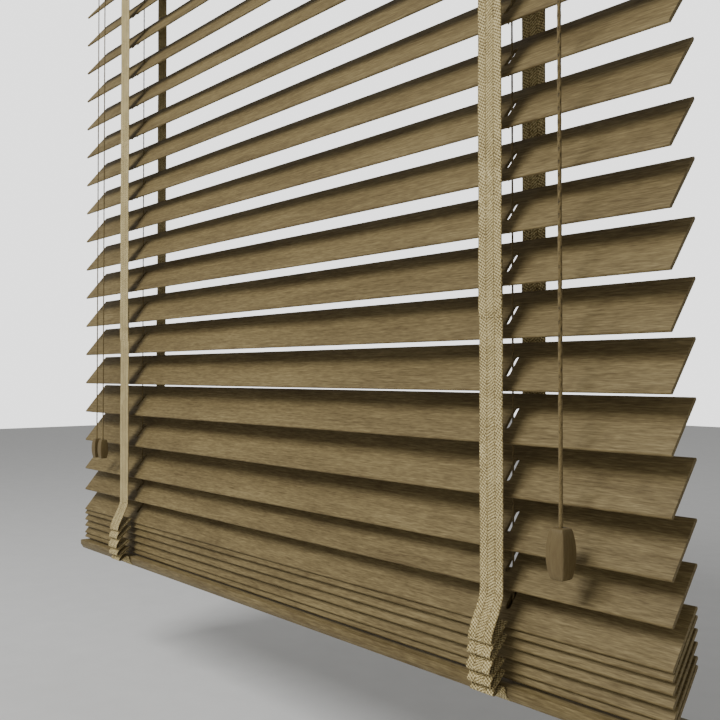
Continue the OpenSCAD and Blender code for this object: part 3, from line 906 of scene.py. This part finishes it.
# %% Ladder spans
SPAN_LAP = 0.5 * MM
for number in range(LAST_STILL_SLAT + 1, STACKED_FROM):
    node = f"ladder_span_{number}"
    low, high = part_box(node)
    parts = [strip(f"{node}_{face}_{side}", sign, hand * ladder_x, low.z - SPAN_LAP, high.z)
             for face, sign in FACES.items() for side, hand in SIDES.items()]
    piece = joined(node + "_cloth", parts)
    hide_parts(node)
    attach(piece, f"carrier_{number}")
    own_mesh(piece)
print("ladder spans:", len(piece.data.polygons), "faces in the last")

# %% [markdown]
# The spare tape at the bottom is gathered in five loops that hang outwards, like stacked
# pillows, before its end is tucked under the rail. Each loop is a pair of outer corners and,
# between it and the next, a tight inner bend. A smooth spline rounds them all off. The lists
# hold each loop's reach, its middle height and half its thickness, in millimetres.

# %% Tape folds
OUTER_Y = [-40.5, -42, -42.6, -41.6, -38.5]
LOOP_Z = [-873.5, -883.6, -895.5, -905.4, -913]
LOOP_HALF = [4.2, 4.0, 4.6, 3.8, 2.6]
INNER_Y = -21.8
INNER_RISE = 18.5
LOW_RISE = 13
INNER_TURN = 2
UPPER_LOOPS_TO = -886
NECK_TOP = slat_z[STACKED_FROM - 1] / MM
NECK_FOOT = -843
NECK_LOW = NECK_FOOT + 3.5
FOLDS_FROM = NECK_FOOT + 4


def b_spline(points, per_span=7):
    """A smooth line near its points: a quadratic spline that touches the middle of each span."""
    out = [points[0]]
    for a, b, c in zip(points, points[1:], points[2:]):
        start = a if a is points[0] else a.lerp(b, 0.5)
        end = c if c is points[-1] else b.lerp(c, 0.5)
        for step in range(1, per_span + 1):
            t = step / per_span
            out.append(start.lerp(b, t).lerp(b.lerp(end, t), t))
    return out


def fold_path(sign):
    """The tape's line from the neck to the rail, in metres. sign is -1 in front, 1 behind."""
    hang = -tape_y / MM
    foot, face = rail_low.z / MM, rail_low.y / MM
    line = [(hang, FOLDS_FROM), (hang, NECK_FOOT)]
    for k, (y, z, half) in enumerate(zip(OUTER_Y, LOOP_Z, LOOP_HALF)):
        line += [(y, z + half), (y, z - half)]
        if k < len(OUTER_Y) - 1:
            upper = z > UPPER_LOOPS_TO
            inner = INNER_Y if upper else face - 1.5
            turn = z - half + (INNER_RISE if upper else LOW_RISE)
            line += [(inner, turn), (inner, turn - INNER_TURN)]
    line += [(face - 4, foot + 14), (face - 1.2, foot + 11), (face - 1.0, foot + 6),
             (face + 3, foot + 1), (face + 6, foot - 0.7)]
    return b_spline([Vector((0, -sign * y * MM, z * MM)) for y, z in line])


folds = []
for side, hand in SIDES.items():
    for face, sign in FACES.items():
        folds.append(tape(f"fold_{face}_{side}", fold_path(sign), hand * ladder_x,
                          -FOLDS_FROM * MM, ripple=0.05 * MM, relief=0.16 * MM))
fold_piece = joined("tape_folds_cloth", folds)
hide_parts("tape_folds")
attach(fold_piece, "stack")
neck = [strip(f"neck_{face}_{side}", sign, hand * ladder_x, NECK_LOW * MM, NECK_TOP * MM)
        for face, sign in FACES.items() for side, hand in SIDES.items()]
neck_piece = joined("ladder_necks", neck)
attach(neck_piece, "stack")
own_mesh(neck_piece)
print("folds:", len(fold_piece.data.polygons), "faces")

# %% [markdown]
# Hard pieces keep the working model's shape, but a real edge is never razor sharp. A copy of
# the node has its loose triangles merged into plain faces, and a Bevel rounds its edges.

# %% Softened copies
def softened(node, body, radius, material, segments):
    source = nodes[node].data
    mesh = bmesh.new()
    mesh.from_mesh(source)
    bmesh.ops.remove_doubles(mesh, verts=mesh.verts, dist=1e-6)
    bmesh.ops.dissolve_limit(mesh, angle_limit=math.radians(1.5), verts=mesh.verts,
                             edges=mesh.edges)
    data = bpy.data.meshes.new(node + "_soft")
    mesh.to_mesh(data)
    data.shade_smooth()
    data.materials.clear()
    data.materials.append(material)
    piece = bpy.data.objects.new(node + "_finished", data)
    bpy.context.scene.collection.objects.link(piece)
    bevel = piece.modifiers.new("edges", "BEVEL")
    bevel.width = radius
    bevel.segments = segments
    bevel.limit_method = "ANGLE"
    bevel.angle_limit = math.radians(40)
    bevel.harden_normals = True
    seen = piece.evaluated_get(bpy.context.evaluated_depsgraph_get())
    baked = bpy.data.meshes.new_from_object(seen)
    piece.modifiers.clear()
    piece.data = baked
    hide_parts(node)
    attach(piece, body)
    return piece


rail = softened("bottom_rail", "stack", 0.9 * MM, slat_wood, 3)
valance = softened("valance", "root", 2.2 * MM, slat_wood, 4)
buttons = softened("rail_buttons", "stack", 0.5 * MM, nylon, 3)
print("softened:", rail.name, valance.name, buttons.name)

# %% [markdown]
# The parts in the headrail already have their true shapes, so they keep the working model's
# meshes and only take a finish.

# %% Finishes of the hidden parts
FINISHED = (
    (enamel, ("headrail", "bracket_left", "bracket_right", "bracket_gates")),
    (nylon, ("headrail_end_caps", "valance_clips", "tilter_case", "drum_cradles",
             "cord_lock_case", "worm_wheel", "tilt_drums", "worm_spool")),
    (zinc, ("tilt_rod", "cord_lock_pulley", "cord_lock_dog")))
for material, finished in FINISHED:
    for node in finished:
        nodes[node].data.materials.clear()
        nodes[node].data.materials.append(material)
print("finishes set")

# %% [markdown]
# The floor and the light: a pale floor under the blind, one large soft light in front and
# above, a weak one at the front left, and an even sky. The sky looks brighter than it lights,
# so the gaps between the slats glow as they do in front of a window.

# %% Floor and light
FLOOR_Z = -1.076
FLOOR_HALF = 6
SKY_STRENGTH = 0.38
SKY_GLOW = 1.8
corners = ((-1, -1), (1, -1), (1, 1), (-1, 1))
floor_mesh = bpy.data.meshes.new("floor")
floor_mesh.from_pydata([(x * FLOOR_HALF, y * FLOOR_HALF, FLOOR_Z) for x, y in corners],
                       [], [(0, 1, 2, 3)])
floor_paint = hard_finish("floor_paint", colour(228, 228, 226), colour(222, 222, 220), 0.7,
                          bump_height=0.01 * MM)
floor_mesh.materials.append(floor_paint)
floor = bpy.data.objects.new("floor", floor_mesh)
bpy.context.scene.collection.objects.link(floor)


def soft_light(name, place, target, size, power):
    data = bpy.data.lights.new(name, "AREA")
    data.shape = "SQUARE"
    data.size = size
    data.energy = power
    light = bpy.data.objects.new(name, data)
    bpy.context.scene.collection.objects.link(light)
    light.location = place
    light.rotation_euler = (Vector(target) - Vector(place)).to_track_quat("-Z", "Y").to_euler()


soft_light("key", (-0.1, -1.95, 1.2), (0, 0, -0.5), 1.2, 64)
soft_light("fill", (-1.5, -1.9, -0.2), (0, 0, -0.6), 1.6, 4)
world = bpy.data.worlds.new("studio")
bpy.context.scene.world = world
world.use_nodes = True
g = Graph(world.node_tree)
seen_directly = g.add("ShaderNodeLightPath", out="Is Camera Ray")
glow = SKY_STRENGTH + seen_directly * SKY_GLOW
sky = g.add("ShaderNodeBackground", None, {"Color": (1, 1, 1, 1), "Strength": glow})
g.add("ShaderNodeOutputWorld", None, {"Surface": sky})
print("floor at", FLOOR_Z)
